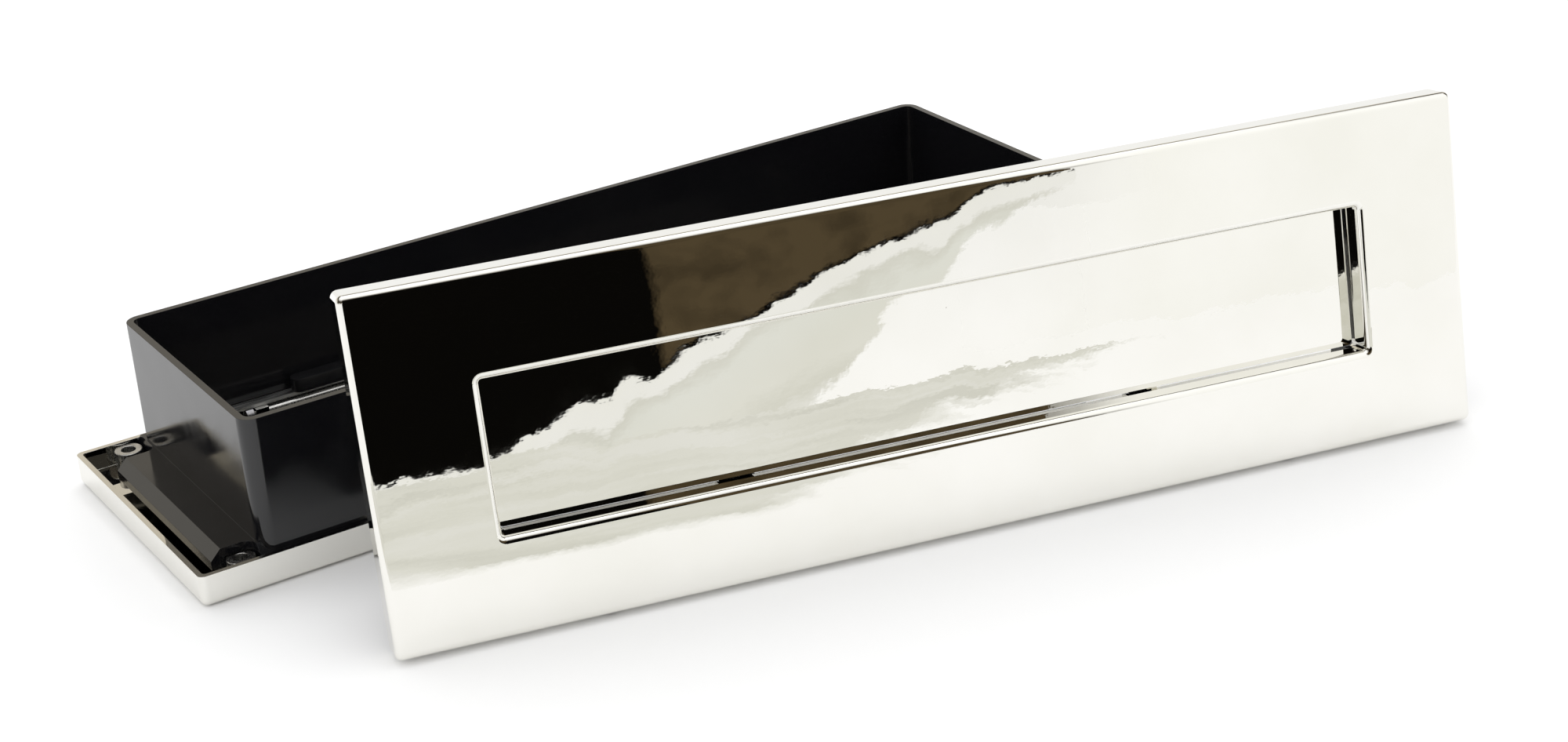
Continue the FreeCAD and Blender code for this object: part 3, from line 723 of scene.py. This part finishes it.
def world():
    """White surroundings for light, and a studio for reflections.

    From the horizon up, the studio is a white sweep, a dim brown room and a wide soft box overhead.
    Behind the set the sweep reaches higher and is warmer."""
    sky = bpy.data.worlds.new("studio")
    bpy.context.scene.world = sky
    sky.use_nodes = True
    sky.node_tree.nodes.clear()
    studio = Nodes(sky.node_tree, "Generated")
    _, depth, up = studio.axes()
    blotches = studio.ranged(studio.noise(2.6, distortion=0.8), *CALM, -0.10, 0.10)
    height = studio.math("ADD", up, blotches)
    ahead = studio.ramp(height, [
        (0.0, (1.0, 1.0, 0.99)), (0.12, (0.95, 0.95, 0.94)), (0.2, (0.30, 0.27, 0.22)),
        (0.3, (0.06, 0.048, 0.034)), (0.60, (0.06, 0.05, 0.04)), (0.74, (0.45, 0.43, 0.40)),
        (0.84, (1.15, 1.15, 1.15)), (1.0, (1.25, 1.25, 1.25))])
    behind = studio.ramp(height, [
        (0.0, (1.0, 1.0, 0.99)), (0.14, (0.98, 0.97, 0.94)), (0.24, (0.85, 0.82, 0.75)),
        (0.36, (0.80, 0.74, 0.62)), (0.50, (0.55, 0.50, 0.42)), (0.58, (0.05, 0.042, 0.03)),
        (0.76, (0.05, 0.042, 0.03)), (0.88, (1.1, 1.1, 1.1))])
    colour = studio.choose(studio.ranged(depth, 0.15, 0.45, 0.0, 1.0), ahead, behind)
    room = studio.add("ShaderNodeBackground", strength=1.0)
    studio.link(colour, room.inputs["Color"])
    plain = studio.add("ShaderNodeBackground", strength=1.1)
    plain.inputs["Color"].default_value = (1, 1, 1, 1)
    glossy = studio.add("ShaderNodeLightPath").outputs["Is Glossy Ray"]
    output = studio.add("ShaderNodeOutputWorld")
    studio.link(studio.layered(glossy, plain, room), output.inputs["Surface"])


def room_card():
    """A standing card in front of the set: the dark end of the room behind the white paper's edge."""
    card = Card("room_card")
    across, _, up = card.axes()
    ragged = card.math("ADD", card.wander(0.0065, 30, 2), card.wander(0.0016, 150, 3, (1.0, 1, 2.0)))

    # The dark room above the paper's edge, with a brown lit stretch on its right.
    edge = card.math("MAXIMUM", card.rise(across, -0.140, 0.375), 0.002)
    depth = card.math("ADD", card.math("SUBTRACT", up, edge), ragged)
    dark = card.ranged(depth, -0.0006, 0.0006, 0.0, 1.0)
    lit = card.math("MULTIPLY", card.ranged(across, -0.060, -0.055, 0.0, 1.0),
                    card.ranged(depth, 0.0015, 0.0035, 0.0, 1.0))
    glimmer = card.ranged(card.noise(45, 2), *CALM, 0.6, 1.2)
    room = card.choose(card.math("MULTIPLY", lit, glimmer),
                       (0.0030, 0.0027, 0.0022), (0.088, 0.064, 0.034))

    # The paper below its edge, in grey bands as far down as its fold.
    bands = card.math("ADD", card.rise(depth, 0.0, -18.0), card.wander(0.10, 40, 3, (1.0, 1, 0.5)))
    paper = card.ramp(bands, [
        (0.0, (0.98, 0.98, 0.95)), (0.16, (0.98, 0.98, 0.96)), (0.22, (0.77, 0.77, 0.71)),
        (0.34, (0.86, 0.87, 0.82)), (0.7, (0.86, 0.86, 0.80)), (0.85, (0.78, 0.78, 0.71)),
        (1.0, (0.93, 0.93, 0.90))])
    above_fold = card.math("ADD", card.math("SUBTRACT", up, card.rise(across, 0.007, 0.74)), ragged)
    fold = card.ranged(above_fold, -0.001, 0.002, 0.0, 1.0)
    card.show(card.choose(dark, paper, room), card.math("MAXIMUM", dark, fold),
              rectangle(-0.42, 0.14, -0.60, -0.60, 0, 0.55))


def soft_box():
    """A bright panel to the right in front of the set, leaning and turned towards it."""
    card = Card("soft_box")
    across, _, up = card.axes()
    colour = card.ramp(up, [(0.0, (1.10, 1.10, 1.08)), (1.0, (1.25, 1.25, 1.24))])
    card.show(colour, card.ranged(across, 0.13, 0.20, 0.0, 1.0),
              [(0.10, -0.72, 0), (1.3, -0.55, 0), (1.3, -0.45, 1.2), (0.10, -0.62, 1.2)])


def shade_card():
    """A grey shade on the paper in front of the inner unit, seen only in its polish."""
    level = 0.0004
    card = Card("shade_card")
    across, along, _ = card.axes()

    # It lies in front of one ragged edge and to the left of another, which slants.
    depth = card.math("ADD", along, card.wander(0.035, 16, 3, (0.7, 1, 1)))
    slant = card.math("SUBTRACT", card.rise(across, 0.05, -0.95), card.rise(along, -0.39, 0.5))
    inside = card.math("ADD", slant, card.wander(0.05, 14, 3, (2.0, 1, 1)))
    cover = card.math("MULTIPLY", card.ranged(depth, -0.215, -0.245, 0.0, 1.0),
                      card.ranged(inside, -0.004, 0.02, 0.0, 1.0))
    grey = card.ramp(card.noise(11, 3, distortion=0.8, stretch=(0.5, 1, 1)), [
        (0.35, (0.74, 0.74, 0.68)), (0.5, (0.83, 0.83, 0.77)), (0.62, (0.88, 0.88, 0.84))])
    card.show(grey, cover, rectangle(-0.45, 0.25, -0.595, -0.14, level, level))


def lamp():
    """A soft square light overhead, behind the set."""
    data = bpy.data.lights.new("overhead", "AREA")
    data.size = 1.5
    data.energy = 4.0
    piece = placed("overhead", data)
    piece.location = (0.3, 0.5, 1.6)
    piece.rotation_euler = (-piece.location).to_track_quat("-Z", "Y").to_euler()


def camera():
    """The camera in front of the set's left end, above it."""
    data = bpy.data.cameras.new("camera")
    data.lens = 62.95
    data.sensor_width = 36
    data.shift_x = -0.0531
    data.shift_y = 0.0076
    piece = placed("camera", data)
    piece.location = (-0.36822, -0.61578, 0.35554)
    piece.rotation_euler = [math.radians(angle) for angle in (64.896, 2.824, -34.331)]
    bpy.context.scene.camera = piece


floor()
world()
room_card()
soft_box()
shade_card()
lamp()
camera()
bpy.context.scene.view_settings.view_transform = "Standard"
